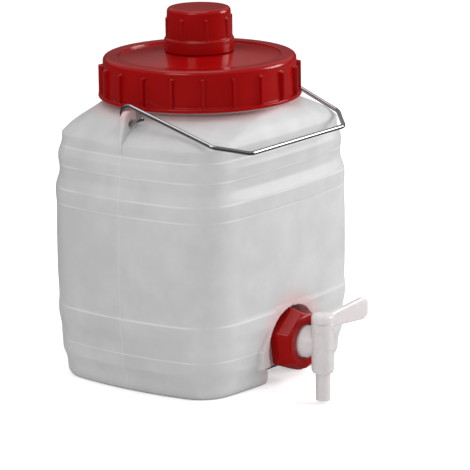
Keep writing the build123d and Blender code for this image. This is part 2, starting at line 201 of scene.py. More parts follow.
def rounded(points, step=0.6):
    """Closed outline through (a, b, radius) corners: straight runs joined by tangent arcs.

    An arc's centre lies on its corner's bisector, and its points are the two tangent points
    blended by sines. A long run gets a point half a step from each end and one every 4 mm.
    """
    p = np.array([q[:2] for q in points], float)
    radius = np.maximum([q[2] for q in points], 0.02)
    back = np.roll(p, 1, 0) - p
    ahead = np.roll(p, -1, 0) - p
    back_l = np.linalg.norm(back, axis=1)
    ahead_l = np.linalg.norm(ahead, axis=1)
    back, ahead = back / back_l[:, None], ahead / ahead_l[:, None]
    half = np.arccos(np.clip((back * ahead).sum(1), -1, 1)) / 2
    half = np.clip(half, 0.02, PI / 2 - 1e-4)
    radius = np.minimum(radius, 0.48 * np.minimum(back_l, ahead_l) * np.tan(half))
    bisector = back + ahead
    bisector /= np.maximum(np.linalg.norm(bisector, axis=1), 1e-9)[:, None]
    centre = p + bisector * (radius / np.sin(half))[:, None]
    out = []
    for k in range(len(p)):
        start = p[k] + back[k] * radius[k] / math.tan(half[k])
        end = p[k] + ahead[k] * radius[k] / math.tan(half[k])
        turn = PI - 2 * half[k]
        count = max(3, int(math.ceil(turn / math.radians(14))) + 1)
        a, b = start - centre[k], end - centre[k]
        t = np.linspace(0, 1, count)[:, None]
        if turn < 3.0:
            sweep = np.sin((1 - t) * turn) * a + np.sin(t * turn) * b
            out.append(centre[k] + sweep / max(math.sin(turn), 1e-6))
        else:
            out.append(start + t * (end - start))
        following = (k + 1) % len(p)
        last = p[following] + back[following] * radius[following] / math.tan(half[following])
        run = np.linalg.norm(last - end)
        if run > 2.5 * step:
            inner = np.unique([0.5 * step / run, 1 - 0.5 * step / run,
                               *np.linspace(0, 1, max(2, int(run / 4.0) + 1))[1:-1]])
            out.append(end + inner[:, None] * (last - end))
    return np.concatenate(out)


def circle(radius, a, z):
    """Points at angles a and height z, radius away from the Z axis; all three may be arrays."""
    return np.stack([radius * np.cos(a), radius * np.sin(a), z + 0 * a], -1)


def lathe(profile, cols):
    """Turned grid: each (radius, height) of the profile goes round Z in equal steps."""
    a = np.linspace(0, TURN, cols, endpoint=False)
    return circle(profile[:, 0][:, None], a, profile[:, 1][:, None])


def on_stem(grid):
    """Grid turned about Z, laid along the tap's stem: its height becomes -Y."""
    x, y, z = np.moveaxis(grid, -1, 0)
    return np.stack([x, -z, y + TAP_Z], -1)


def stretched(grid, scale):
    """Grid whose distance from the Z axis is multiplied by scale."""
    return grid * np.stack([scale, scale, np.ones_like(scale)], -1)


def tube(path, radius, cols, flat):
    """Round profile carried along a path, its frame turned as little as possible from row to row.

    A point is the path's point, plus radius times the cosine along the frame's first direction,
    plus radius times the sine along its second. flat gives each row's stretch in those two.
    """
    forward = np.gradient(path, axis=0)
    forward /= np.linalg.norm(forward, axis=1)[:, None]
    side = np.empty_like(path)
    s = np.cross(forward[0], [1.0, 0.0, 0.0])
    for k, f in enumerate(forward):
        s = s - f * (s @ f)
        s /= np.linalg.norm(s)
        side[k] = s
    other = np.cross(forward, side)
    a = np.linspace(0, TURN, cols, endpoint=False)
    return (path[:, None, :]
            + radius * (flat[:, :1] * np.cos(a))[..., None] * side[:, None, :]
            + radius * (flat[:, 1:] * np.sin(a))[..., None] * other[:, None, :])


def soft_step(t):
    """0 below 0, 1 above 1, and a smooth rise between."""
    t = np.clip(t, 0, 1)
    return t * t * (3 - 2 * t)


def soft_max(a, b, k):
    """The larger of a and b, with the change from one to the other rounded over about k."""
    return 0.5 * (a + b + np.sqrt((a - b) ** 2 + k * k))


def smoothed(values, width):
    """Moving bell-shaped mean of a row of values, with the ends held."""
    n = int(3 * width)
    w = np.exp(-0.5 * (np.arange(-n, n + 1) / width) ** 2)
    w /= w.sum()
    padded = np.concatenate([np.repeat(values[:1], n), values, np.repeat(values[-1:], n)])
    return np.convolve(padded, w, "valid")


def thread(a, z, start, pitch, width, low, high, run_in, run_out):
    """Share of a thread's height at angle a and height z.

    It is a bell of the given width across a helix that climbs one pitch a turn from start, and
    it fades in from low over run_in and out to high over run_out.
    """
    turn = ((z - start) / pitch - a / TURN) % 1.0
    fade = soft_step((z - low) / run_in) * soft_step((high - z) / run_out)
    return np.exp(-((turn - 0.5) / width) ** 2) * fade


# Can body


def outline_arcs():
    """Arcs of a quarter of the bowed outline.

    A side arc and a front arc each rise FACE_BOW over their run. The corner circle touches both
    from inside, so its centre is where circles reduced by its radius meet. Returns both arcs'
    centres and radii, the corner's centre, and the angles at which it starts and ends.
    """
    run_x, run_y = HALF_X - CORNER_R - FACE_BOW, HALF_Y - CORNER_R - FACE_BOW
    side_r = (run_y**2 + FACE_BOW**2) / (2 * FACE_BOW)
    front_r = (run_x**2 + FACE_BOW**2) / (2 * FACE_BOW)
    side_x, front_y = HALF_X - side_r, HALF_Y - front_r
    reach_side, reach_front = side_r - CORNER_R, front_r - CORNER_R
    apart = math.hypot(side_x, front_y)
    along = (reach_side**2 - reach_front**2 + apart**2) / (2 * apart)
    across = math.sqrt(reach_side**2 - along**2)
    ux, uy = -side_x / apart, front_y / apart
    cx, cy = side_x + along * ux - across * uy, along * uy + across * ux
    if cx < 0 or cy < 0:
        cx, cy = side_x + along * ux + across * uy, along * uy - across * ux
    low = math.atan2(cy, cx - side_x)
    high = math.atan2(cy - front_y, cx)
    return side_x, side_r, front_y, front_r, cx, cy, low, high


def outline_samples():
    """Centre x and y, radius and angle of each column, and how far it lies on a flat face.

    Columns run round the outline, with more of them on the front, where the pocket is, and at
    the parting line in the middle of each side. The share of face fades near its corners.
    """
    side_x, side_r, front_y, front_r, cx, cy, low, high = outline_arcs()
    side = np.unique(np.concatenate([np.linspace(-1, 1, 25), np.linspace(-0.035, 0.035, 11)]))[:-1]
    back = np.linspace(-1, 1, 31)[:-1]
    front = np.linspace(-1, 1, 133)[:-1]
    corner = (high - low) * np.linspace(0, 1, 19)[:-1]
    runs = [
        (side_x, 0, side_r, low * side),
        (cx, cy, CORNER_R, low + corner),
        (0, front_y, front_r, PI / 2 + (PI / 2 - high) * back),
        (-cx, cy, CORNER_R, PI - high + corner),
        (-side_x, 0, side_r, PI + low * side),
        (-cx, -cy, CORNER_R, PI + low + corner),
        (0, -front_y, front_r, 1.5 * PI + (PI / 2 - high) * front),
        (cx, -cy, CORNER_R, TURN - high + corner),
    ]
    cols, flat = [], []
    for k, (x, y, r, a) in enumerate(runs):
        count = len(a)
        cols.append(np.stack([np.full(count, x), np.full(count, y), np.full(count, r), a]))
        on_face = soft_step((1.0 - np.abs(np.linspace(-1, 1, count))) / 0.14)
        flat.append(on_face if k % 2 == 0 else np.zeros(count))
    return np.concatenate(cols, 1), np.concatenate(flat)


def parting_bead(cols):
    """Height share of the moulding's parting bead: a bell round the middle of each X side."""
    bead = np.zeros(cols.shape[1])
    for middle in (0.0, PI):
        off = (cols[3] - middle) * cols[2]
        near = (np.abs(np.cos(cols[3]) - math.cos(middle)) < 0.1) & (np.abs(cols[1]) < 1e-9)
        bead += np.where(near, np.exp(-(off / BEAD_HALF) ** 2), 0)
    return bead


def pocket_depth(x, z):
    """Y of the tap's round pocket behind (x, z), with the notch through the foot under it."""
    inside = POCKET_R - np.hypot(x, z - POCKET_Z)
    depth = np.where(inside > 0, np.minimum(POCKET_BACK_Y, -HALF_Y + inside / POCKET_DRAFT), -200.0)
    return np.where((np.abs(x) < ARCH_HALF) & (z < POCKET_Z), POCKET_BACK_Y, depth)


def patch_share(x, z):
    """1 on the flat arched patch round the pocket, 0 outside its crease."""
    half = np.interp(z, *np.transpose(PATCH_EDGE))
    return soft_step((half - np.abs(x)) / 1.4) * soft_step((z - 12.0) / 3.0)


def carve(grid, extra):
    """Raises the tap's patch, pushes its pocket back and lifts the underside over the foot arch.

    Y is pulled out to the patch where that lies further out, then replaced by the larger of
    itself and the pocket's depth. extra is how far the skin lies inside the moulding's outside.
    """
    x, y, z = np.moveaxis(grid, -1, 0)
    front = (y < -40) & (z > 0.02)
    flat = y + patch_share(x, z) * np.minimum(PATCH_Y + extra - y, 0)
    y = np.where(front, flat, y)
    pushed = soft_max(y, pocket_depth(x, z) + extra, 0.6) - 0.05
    y2 = np.where(front & (pushed > y + 0.05), pushed, y)
    arch = (np.abs(x) < ARCH_HALF - 2 + extra) & (y2 < ARCH_BACK_Y + extra)
    z2 = np.where(arch & (z < ARCH_Z + extra), ARCH_Z + extra, z)
    return np.stack([x, y2, z2], -1)


def can_rows():
    """Heights of the sides with a crisp and a soft inset, and the shoulder's rise and blend.

    The crisp inset is SIDES under a narrow bell-shaped mean, the soft one SIDES under a wide
    mean, and both turn into plain SIDES at the foot. The shoulder's blend is smoothed too.
    """
    z = np.unique(np.concatenate([np.linspace(0, 6, 13), np.arange(6, 58, 0.85), np.arange(58, 118, 2.0),
                                  np.arange(118, SHOULDER_Z + 0.1, 0.75)]))
    step = 0.25
    fine = np.arange(0, SHOULDER_Z + step, step)
    raw = np.interp(fine, SIDES[:, 0], SIDES[:, 1])
    crisp = np.interp(z, fine, smoothed(raw, 1.6))
    soft = np.interp(z, fine, smoothed(raw, 9.0))
    foot = soft_step(z / 8.0)
    crisp = np.interp(z, fine, raw) * (1 - foot) + crisp * foot
    soft = crisp * (1 - foot) + soft * foot
    rise = np.linspace(0, 1, 34)[1:]
    even = np.linspace(0, 1, 200)
    blend = np.interp(even, SHOULDER[:, 0], SHOULDER[:, 1])
    blend = np.interp(rise, even, smoothed(blend, 7.0))
    blend[-1] = 0.0
    return z, crisp, soft, rise, blend


def place(cols, inset, blend, z, round_r):
    """Outline point: centre times blend, plus a radius between the neck's and the corner's."""
    cx, cy, r, a = cols
    radius = round_r + blend * (r - inset - round_r)
    return np.stack([blend * cx + radius * np.cos(a), blend * cy + radius * np.sin(a), z + 0 * a], -1)


def rings(row, shares):
    """Rows that shrink a row towards the Z axis, each by one share."""
    return np.stack([row * [q, q, 1] for q in shares])


def outer_rows(cols, flat):
    """Base, banded sides and shoulder from outside, with the parting bead up both sides."""
    z, crisp, soft, rise, blend = can_rows()
    bead = BEAD_H * parting_bead(cols)
    inset = crisp[:, None] * flat + soft[:, None] * (1 - flat) - bead * soft_step(z / 6)[:, None]
    inset = np.maximum(inset, LEAST_INSET)
    base = rings(place(cols, BASE_INSET, 1.0, 0.0, NECK_R),
                 (0.02, 0.2, 0.4, 0.55, 0.66, 0.72, 0.77, 0.82, 0.87, 0.91, 0.95, 0.98))
    sides = np.stack([place(cols, i, 1.0, h, NECK_R) for i, h in zip(inset, z)])
    shoulder = np.stack([place(cols, WAIST_INSET - bead * b, b, SHOULDER_Z + SHOULDER_RISE * t, NECK_R)
                         for t, b in zip(rise, blend)])
    return np.concatenate([base, sides, shoulder])


def neck_rows(a):
    """Threaded neck from the shoulder up, then its rim and plain bore down to the shoulder."""
    rim = NECK_TOP_Z - np.array([0.4, 0.1, 0.0])
    z = np.concatenate([np.arange(188.6, NECK_TOP_Z - 0.5, 0.55), rim])[:, None]
    ridge = thread(a, z, start=192.5, pitch=6.0, width=0.14, low=191, high=211, run_in=3, run_out=3)
    outside = circle(NECK_R + NECK_THREAD_H * ridge - 0.5 * soft_step((z - 213.3) / 0.7), a, z)
    bore = np.array([(NECK_BORE_R + 0.5, NECK_TOP_Z), (NECK_BORE_R, NECK_TOP_Z - 0.5), (NECK_BORE_R, 200.0),
                     (NECK_BORE_R, 187.0)])
    return outside, circle(bore[:, :1], a, bore[:, 1:])


def inner_rows(cols):
    """Shoulder, walls and floor from inside, downwards."""
    down = SHOULDER[-2::-1]
    shoulder = np.stack([place(cols, WAIST_INSET + WALL, b, SHOULDER_Z - 1.6 + SHOULDER_RISE * t, NECK_BORE_R)
                         for t, b in down])
    walls = np.stack([place(cols, inset, 1.0, z, NECK_BORE_R) for z, inset in INNER_SIDES])
    floor = rings(walls[-1], (0.95, 0.88, 0.8, 0.72, 0.66, 0.5, 0.3, 0.02))
    return np.concatenate([shoulder, walls, floor])


def can_skin():
    """Closed skin of the moulding: each column goes up its outside and down its inside.

    A point is a centre plus a radius at the column's angle. Over the shoulder the centre goes to
    the Z axis and the radius to the neck's, and the pocket and the arch are carved afterwards.
    """
    cols, flat = outline_samples()
    outer = outer_rows(cols, flat)
    neck, bore = neck_rows(np.arctan2(outer[-1, :, 1], outer[-1, :, 0]))
    outer = carve(np.concatenate([outer, neck]), 0.0)
    return surface("can_skin", np.concatenate([outer, bore, carve(inner_rows(cols), WALL)]))


def ear(side):
    """Upright fin with the bail's hole.

    Each row is the fin's outline, or a share of the way from it to the hole's circle, at one
    depth. Rows go over one face, through the hole and back over the other, and the fin thins
    downwards.
    """
    top = EYE_Z + 3.0
    inner_x, outer_x = LIP_R + 3.0, HALF_X - WAIST_INSET
    outline = rounded([
        (inner_x, 174.0, 0.3), (outer_x - 2.0, 161.0, 0.3), (outer_x + 0.7, 163.0, 0.5),
        (outer_x + 0.6, 171.0, 4.0), (outer_x - 0.4, EYE_Z - 7.0, 6.0), (EAR_X + 6.5, top, 5.5),
        (inner_x, top, 3.5),
    ])
    middle = np.array([EAR_X, EYE_Z - EYE_R])
    away = outline - middle
    away /= np.linalg.norm(away, axis=1)[:, None]
    hole = middle + away * EAR_HOLE_R
    over_face = [(0, 0.0, 1.4), (0, 0.25, 1.95), (0, 0.8, EAR_HALF_T), (0.5, 0, EAR_HALF_T),
                 (1, 0.7, EAR_HALF_T), (1, 0.2, 2.0), (1, 0.0, 1.5)]
    rows = []
    for share, pull, y in [(s, p, -y) for s, p, y in over_face] + over_face[::-1]:
        at = (outline - away * pull) * (1 - share) + (hole + away * pull) * share
        thick = np.interp(at[:, 1], [163, 172, 181], [0.15, 0.35, 1.0])
        rows.append(np.stack([side * at[:, 0], y * thick, at[:, 1]], -1))
    grid = np.stack(rows)
    if side < 0:
        grid = grid[:, ::-1]
    return surface("ear_right" if side > 0 else "ear_left", grid, loop=True)


def spout():
    """Threaded spout: a turned tube, stretched by a twentieth along a helix on its outside."""
    root = 65.5
    grid = lathe(rounded([(SPOUT_R, root, 0.2), (SPOUT_R, SPOUT_REACH, 0.6), (SPOUT_BORE_R, SPOUT_REACH, 0.5),
                          (SPOUT_BORE_R, root, 0.2)], 0.3), 96)
    x, y, z = np.moveaxis(grid, -1, 0)
    outside = np.hypot(x, y) > 15.0
    ridge = thread(np.arctan2(y, x), z, start=69.0, pitch=3.0, width=0.16, low=68, high=79, run_in=2,
                   run_out=1.5)
    return surface("spout", on_stem(stretched(grid, 1 + 0.05 * outside * ridge)), loop=True)


# Lid and cap


def ribbed_columns(count, phase, half, reach):
    """Angles with columns gathered at each rib's flanks, and their distance in mm from a rib."""
    pitch = TURN * reach / count
    flank = np.array([0.4, 0.12, -0.05, -0.35])
    rib = np.concatenate([-half + flank[::-1], [0.0], half - flank])
    gap = np.linspace(half + 0.35, pitch - half - 0.35, 9)[1:-1]
    s = np.concatenate([rib, gap])
    k = np.arange(count)[:, None]
    angle = math.radians(phase) + (k * pitch + s) / reach
    distance = np.minimum(np.abs(s), np.abs(pitch - s)) + 0 * k
    return angle.reshape(-1), distance.reshape(-1)


def ribbed_lathe(profile, angle, distance, half, low, top, rib_r, inner):
    """Turned grid whose radius steps out to rib_r at each rib, under a half-round rib end."""
    r, z = profile[:, 0][:, None], profile[:, 1][:, None]
    end = top - half + np.sqrt(np.clip(half**2 - distance**2, 0, None))
    up = soft_step((end - z) / 0.5) * soft_step((z - low) / 0.4)
    across = soft_step((half - distance) / 0.35 + 0.3)
    outside = (r > inner) & (z > low) & (z < top + 0.5)
    grown = np.where(outside & (rib_r > r), r + (rib_r - r) * up * across, r + 0 * angle)
    return circle(grown, angle, z)


def with_wall(profile, on_wall, wall):
    """Profile whose points on a wall are replaced by the wall's own finer ones."""
    at = np.flatnonzero(on_wall)
    return np.concatenate([profile[:at[0]], wall, profile[at[-1] + 1:]])


def screw_lid():
    """Lid: a turned profile of pour neck, disc, ring and skirt, stretched out at its ribs."""
    rib_low, rib_top = LIP_Z + 0.8, LID_TOP_Z - 5.5
    profile = rounded([
        (POUR_BORE_R, POUR_TOP_Z, 0.5), (POUR_BORE_R, BOSS_Z - 2.0, 0.5), (21.0, BOSS_Z - 2.0, 0.5),
        (54.0, LID_CEILING_Z, 0.5), (LID_BORE_R, LID_CEILING_Z, 0.6), (LID_BORE_R, LIP_Z + 1.8, 0.3),
        (LID_BORE_R + 0.8, LIP_Z, 0.3), (LIP_R - 0.7, LIP_Z, 0.4), (LIP_R, LIP_Z + 0.7, 0.4),
        (LIP_R - 0.2, LIP_Z + 2.4, 0.5), (LID_R + 0.9, LIP_Z + 3.0, 0.5), (LID_R, LID_TOP_Z, 3.0),
        (DISC_R + 0.2, LID_TOP_Z, 0.5), (DISC_R, DISC_Z, 0.25), (CAP_COLLAR_R, BOSS_Z, 3.0),
        (POUR_R, BOSS_Z + 0.2, 0.4), (POUR_R, POUR_TOP_Z, 0.5),
    ])
    r, z = profile.T
    plain = np.linspace(LIP_Z + 3.6, rib_top - 4.6, 9)
    rib_end = rib_top + np.arange(-4.3, 0.8, 0.28)
    rows = np.unique(np.concatenate([plain, rib_end, [rib_top + 1.4, rib_top + 2.2]]))
    skirt = np.stack([np.interp(rows, [LIP_Z + 3, LID_TOP_Z], [LID_R + 0.9, LID_R]), rows], -1)
    profile = with_wall(profile, (r > LID_R - 0.5) & (z > LIP_Z + 3.3) & (z < LID_TOP_Z - 3.4), skirt)
    angle, distance = ribbed_columns(LID_RIBS, LID_RIB_PHASE, LID_RIB_HALF, LID_RIB_R)
    grid = ribbed_lathe(profile, angle, distance, LID_RIB_HALF, rib_low, rib_top, LID_RIB_R, LID_R - 0.6)
    return surface("screw_lid", grid, loop=True)


def pour_cap():
    """Cap: a turned profile of collar, tapering side and rounded crown, stretched at its ribs."""
    axis_r = 0.4
    profile = rounded([
        (axis_r, CAP_CEILING_Z, 0.1), (POUR_R + 0.5, CAP_CEILING_Z, 0.4), (POUR_R + 0.7, CAP_Z + 2.0, 0.5),
        (POUR_R + 1.4, CAP_Z, 0.3), (CAP_COLLAR_R - 0.5, CAP_Z, 0.3), (CAP_COLLAR_R, CAP_Z + 0.5, 0.3),
        (CAP_COLLAR_R, CAP_SHOULDER_Z, 0.45), (CAP_R, CAP_SHOULDER_Z + 1.2, 0.6), (CAP_TOP_R, CAP_TOP_Z, 2.6),
        (axis_r, CAP_TOP_Z, 0.1),
    ])
    first = np.argmin(np.abs(profile[:, 0] - axis_r) + np.abs(profile[:, 1] - CAP_CEILING_Z))
    profile = np.roll(profile, -first, 0)
    profile = profile[profile[:, 0] > axis_r - 0.01]
    r, z = profile.T
    rib_low, rib_top = CAP_SHOULDER_Z - 0.2, CAP_Z + 24.0
    plain = np.linspace(CAP_SHOULDER_Z + 1.9, rib_top - 2.9, 6)
    rib_end = rib_top + np.arange(-2.6, 1.5, 0.25)
    rows = np.unique(np.concatenate([plain, rib_end, [rib_top + 2.1]]))
    side = np.stack([np.interp(rows, [CAP_SHOULDER_Z + 1.2, CAP_TOP_Z], [CAP_R, CAP_TOP_R]), rows], -1)
    profile = with_wall(profile, (r > 21.0) & (z > CAP_SHOULDER_Z + 1.7) & (z < CAP_TOP_Z - 3.2), side)
    angle, distance = ribbed_columns(CAP_RIBS, CAP_RIB_PHASE, CAP_RIB_HALF, 22.5)
    grid = ribbed_lathe(profile, angle, distance, CAP_RIB_HALF, rib_low, rib_top, CAP_RIB_R, 21.0)
    return surface("ribbed_cap", grid)


# Bail


def arc(centre, start, end, count):
    """Points that swing from start to end about centre on the shorter way, blended by sines."""
    a, b = start - centre, end - centre
    turn = math.acos(np.clip(a @ b / (a @ a), -1, 1))
    t = np.linspace(0, 1, count)[:, None]
    return centre + (np.sin((1 - t) * turn) * a + np.sin(t * turn) * b) / math.sin(turn)


def unit(vector):
    return vector / np.linalg.norm(vector)


def bend(before, at, after, r):
    """Arc of radius r that rounds the corner at, between the points before and after it."""
    u, v = unit(before - at), unit(after - at)
    half = math.acos(np.clip(u @ v, -1, 1)) / 2
    centre = at + unit(u + v) * r / math.sin(half)
    return arc(centre, at + u * r / math.tan(half), at + v * r / math.tan(half), 10)


def between(start, end, count):
    """count points from start to end, without the two ends."""
    return start + np.linspace(0, 1, count + 2)[1:-1, None] * (end - start)


def bail_wire():
    """Wire: pinched stub, eye, arm, two small bends at each corner, bar, and the same mirrored.

    The eye is a circle round the ear's hole edge, the arm is straight from its tangent to the
    corner's chamfer, and the right half is bent in towards the front. The tube is flattened
    over its last few millimetres and rounded off at its ends.
    """
    mirrored = np.array([-1, 1, 1])
    angles = np.radians(np.linspace(STUB_ANGLE, 90 + BAIL_SLOPE, 46))
    eye = np.stack([EAR_X + 0 * angles, EYE_R * np.cos(angles), EYE_Z + EYE_R * np.sin(angles)], -1)
    start = math.radians(STUB_ANGLE)
    stub = np.array([0, math.sin(start), -math.cos(start)])
    tip = eye[0] + stub * STUB_L
    level = eye[-1, 2] - (eye[-1, 1] - BAIL_Y) * math.tan(math.radians(BAIL_SLOPE))
    corner = np.array([BAIL_CORNER_X, BAIL_Y, level])
    knee = corner + unit(eye[-1] - corner) * BAIL_CHAMFER
    hip = corner - np.array([BAIL_CHAMFER, 0, 0])
    first = bend(eye[-1], knee, hip, BAIL_BEND_R)
    second = bend(knee, hip, hip * mirrored, BAIL_BEND_R)
    half = np.concatenate([
        tip + np.array([0, 0.3, 0.7, 1.5, 3, 5, 8])[:, None] * -stub, eye, between(eye[-1], first[0], 7),
        first, between(first[-1], second[0], 3), second,
    ])
    bar = between(second[-1], second[-1] * mirrored, 5)
    path = np.concatenate([half, bar, half[::-1] * mirrored])
    rightward = np.clip(path[:, 0] / BAIL_CORNER_X, 0, 1)
    path[:, 0] -= BAIL_BENT_IN * rightward * soft_step(path[:, 1] / BAIL_Y)
    along = np.concatenate([[0], np.cumsum(np.linalg.norm(np.diff(path, axis=0), axis=1))])
    end = np.minimum(along, along[-1] - along)
    pinch = soft_step(1 - end / 3.2)
    tipped = np.sqrt(np.clip(1 - (1 - np.clip(end / 0.7, 0, 1)) ** 2, 0.02, 1))
    flat = np.stack([(1 + 0.28 * pinch) * tipped, (1 - 0.5 * pinch) * tipped], -1)
    return surface("bail_wire", tube(path, WIRE_R, 22, flat))


# Tap; profiles turned about the stem give the distance from the can's middle as their height


def nut():
    """Nut: a turned taper whose radius outside the front collar is drawn in to a hexagon's flats.

    A flat's radius is the cosine of 30 degrees over the cosine of the angle from its middle,
    held a little under 1 at the corners.
    """
    cols = 240
    grid = lathe(rounded([
        (12.0, 84.2, 0.2), (17.3, 84.0, 0.3), (17.3, 72.0, 0.4), (23.2, 72.0, 0.8), (23.0, 78.4, 1.5),
        (20.4, 85.6, 1.2), (17.6, 87.8, 1.6), (12.0, 87.8, 0.6),
    ], 0.3), cols)
    a = np.linspace(0, TURN, cols, endpoint=False)
    folded = (a - math.radians(NUT_PHASE)) % (PI / 3) - PI / 6
    flats = -soft_max(-math.cos(PI / 6) / np.cos(folded), -0.985 + 0 * a, 0.02)
    r = np.hypot(grid[..., 0], grid[..., 1])
    scale = 1 - (1 - flats) * soft_step((r - 17.8) / 1.6)
    return surface("hex_nut", on_stem(stretched(grid, scale)), loop=True)


def stem():
    """Flange, spigot and tapering stem of the tap, turned about the stem."""
    front = -SLEEVE_Y
    profile = rounded([
        (WATERWAY_R, front, 0.1), (WATERWAY_R, 72.0, 0.3), (11.8, 72.0, 1.0), (11.8, 81.0, 0.2),
        (16.9, 81.0, 0.3), (16.9, 83.8, 0.3), (11.3, 83.8, 0.6), (11.0, 89.3, 1.5), (6.8, 97.6, 1.5),
        (6.8, front, 0.2),
    ], 0.4)
    return surface("tap_stem", on_stem(lathe(profile, 96)), loop=True)


def sleeve():
    """Upright sleeve of the tap with a drawn-in lower lip, turned about its own axis."""
    bore, lip_bore = 5.9, 4.95
    profile = rounded([
        (lip_bore, SLEEVE_LOW_Z, 0.2), (6.7, SLEEVE_LOW_Z, 0.4), (SLEEVE_R, 11.0, 0.8),
        (SLEEVE_R, SLEEVE_TOP_Z, 0.6), (bore, SLEEVE_TOP_Z, 0.3), (bore, 11.2, 0.2), (lip_bore, 11.2, 0.2),
    ], 0.4)
    return surface("tap_sleeve", lathe(profile, 72) + [0, SLEEVE_Y, 0], loop=True)


def plug():
    """Plug: hollow nozzle, snap bead, barrel and domed head, turned about the sleeve's axis."""
    seat_z = SLEEVE_TOP_Z + 0.1
    profile = rounded([
        (WATERWAY_R, NOZZLE_Z, 0.3), (NOZZLE_R, NOZZLE_Z, 0.5), (NOZZLE_R, 7.8, 0.3), (5.25, 8.3, 0.2),
        (5.25, 8.7, 0.1), (NOZZLE_R, 8.7, 0.1), (NOZZLE_R, 11.3, 0.1), (5.85, 11.3, 0.2), (5.85, seat_z, 0.1),
        (SLEEVE_R, seat_z, 0.3), (SLEEVE_R, 49.4, 2.4), (0.3, 49.9, 0.1), (0.3, 31.0, 0.1),
        (WATERWAY_R, 31.0, 0.1),
    ], 0.4)
    return surface("plug_barrel", lathe(profile, 64) + [0, SLEEVE_Y, 0], loop=True)


def lever():
    """Paddle along X: a box with rounded edges whose top and bottom open out towards its end.

    Each row is a superellipse, the sign of the cosine and the sine times a power of their size,
    scaled by half the thickness and half the height there. The end is a quarter round.
    """
    end_x = LEVER_X - LEVER_END_R
    quarter = np.sin(np.linspace(0, 1, 16) * PI / 2)
    x = np.concatenate([[3.0], np.linspace(3.2, end_x, 28), LEVER_X - LEVER_END_R * (1 - quarter)])
    x = np.unique(np.round(x, 4))
    top = np.interp(x, [3, LEVER_X], [48.0, 51.5])
    low = np.interp(x, [3, 8.3, 8.9, 9.8, LEVER_X], [43.6, 43.6, 39.6, 38.5, 34.9])
    middle, tall = (top + low) / 2, (top - low) / 2
    round_end = np.sqrt(np.clip(1 - np.clip((x - end_x) / LEVER_END_R, 0, 1) ** 2, 0.0009, 1))
    tall = tall * np.where(x > end_x, 0.3 + 0.7 * round_end, 1) * np.where(x > LEVER_X - 0.01, 0.9, 1)
    thick = 2.3 * np.where(x > LEVER_X - 1.0, np.sqrt(np.clip(LEVER_X - x, 0.02, 1)), 1)
    a = np.linspace(0, TURN, 64, endpoint=False)
    c, s = np.cos(a), np.sin(a)
    y = np.sign(c) * np.abs(c) ** 0.55
    z = np.sign(s) * np.abs(s) ** 0.35
    y, z = SLEEVE_Y + thick[:, None] * y, middle[:, None] + tall[:, None] * z
    return surface("lever", np.stack([x[:, None] + 0 * a, y, z], -1))


# Materials


class Value:
    """A socket's value; arithmetic on it adds Math nodes."""

    def __init__(self, paint, socket):
        self.paint, self.socket = paint, socket

    def _math(self, operation, *values):
        return self.paint.node("ShaderNodeMath", {"operation": operation}, dict(enumerate(values)))

    def __add__(self, other):
        return self._math("ADD", self, other)

    def __sub__(self, other):
        return self._math("SUBTRACT", self, other)

    def __mul__(self, other):
        return self._math("MULTIPLY", self, other)

    def __rsub__(self, other):
        return self._math("SUBTRACT", other, self)

    def __abs__(self):
        return self._math("ABSOLUTE", self)

    __radd__, __rmul__ = __add__, __mul__

    def clamped(self):
        return self.paint.node("ShaderNodeClamp", {}, {"Value": self, "Min": 0.0, "Max": 1.0})


class Paint:
    """Nodes of one material or world: node() adds any of them, the rest are short words for some."""

    def __init__(self, owner, coordinates="Object", output="ShaderNodeOutputMaterial"):
        owner.use_nodes = True
        self.owner, self.tree, self.output = owner, owner.node_tree, output
        self.tree.nodes.clear()
        self.where = self.node("ShaderNodeTexCoord", {}, {}, coordinates)

    def node(self, kind, settings, inputs, output=0):
        made = self.tree.nodes.new(kind)
        for key, value in settings.items():
            setattr(made, key, value)
        for key, value in inputs.items():
            if isinstance(value, Value):
                self.tree.links.new(value.socket, made.inputs[key])
            else:
                made.inputs[key].default_value = value
        return Value(self, made.outputs[output])

    def noise(self, scale, detail=2.0, rough=0.5):
        return self.node("ShaderNodeTexNoise", {}, {"Vector": self.where, "Scale": scale, "Detail": detail,
                                                    "Roughness": rough})

    def along(self, axis):
        return self.node("ShaderNodeSeparateXYZ", {}, {"Vector": self.where}, axis)

    def distance(self, place):
        between_points = {"operation": "DISTANCE"}
        return self.node("ShaderNodeVectorMath", between_points, {0: self.where, 1: place}, "Value")

    def mix(self, amount, low, high):
        return self.node("ShaderNodeMix", {"data_type": "RGBA"}, {0: amount, 6: low, 7: high}, 2)

    def ramp(self, value, low, high):
        return self.node("ShaderNodeMapRange", {"interpolation_type": "SMOOTHSTEP"},
                         {"Value": value, "From Min": low, "From Max": high})

    def bump(self, height, strength, distance):
        return self.node("ShaderNodeBump", {}, {"Height": height, "Strength": strength, "Distance": distance})

    def ray(self, kind):
        return self.node("ShaderNodeLightPath", {}, {}, kind)

    def mix_shader(self, amount, first, second):
        return self.node("ShaderNodeMixShader", {}, {0: amount, 1: first, 2: second})

    def shade(self, **inputs):
        named = {key.replace("_", " "): value for key, value in inputs.items()}
        return self.finish(self.node("ShaderNodeBsdfPrincipled", {}, named))

    def finish(self, shader):
        out = self.tree.nodes.new(self.output)
        self.tree.links.new(shader.socket, out.inputs["Surface"])
        return self.owner


def new_paint(name):
    return Paint(bpy.data.materials.new(name))


def grey(level):
    return (level, level, level, 1)


# Height of each fine painted highlight along the mould's steps round the can, and its half width.
STEP_HIGHLIGHT_LINES = ((162.0, 0.9), (149.0, 1.0), (133.6, 1.1), (122.6, 1.0), (51.6, 1.1), (26.8, 0.9))
# Pink of the painted glow that the red lid and nut give the milky plastic near them.
RED_GLOW_PINK = (0.80, 0.50, 0.50, 1)


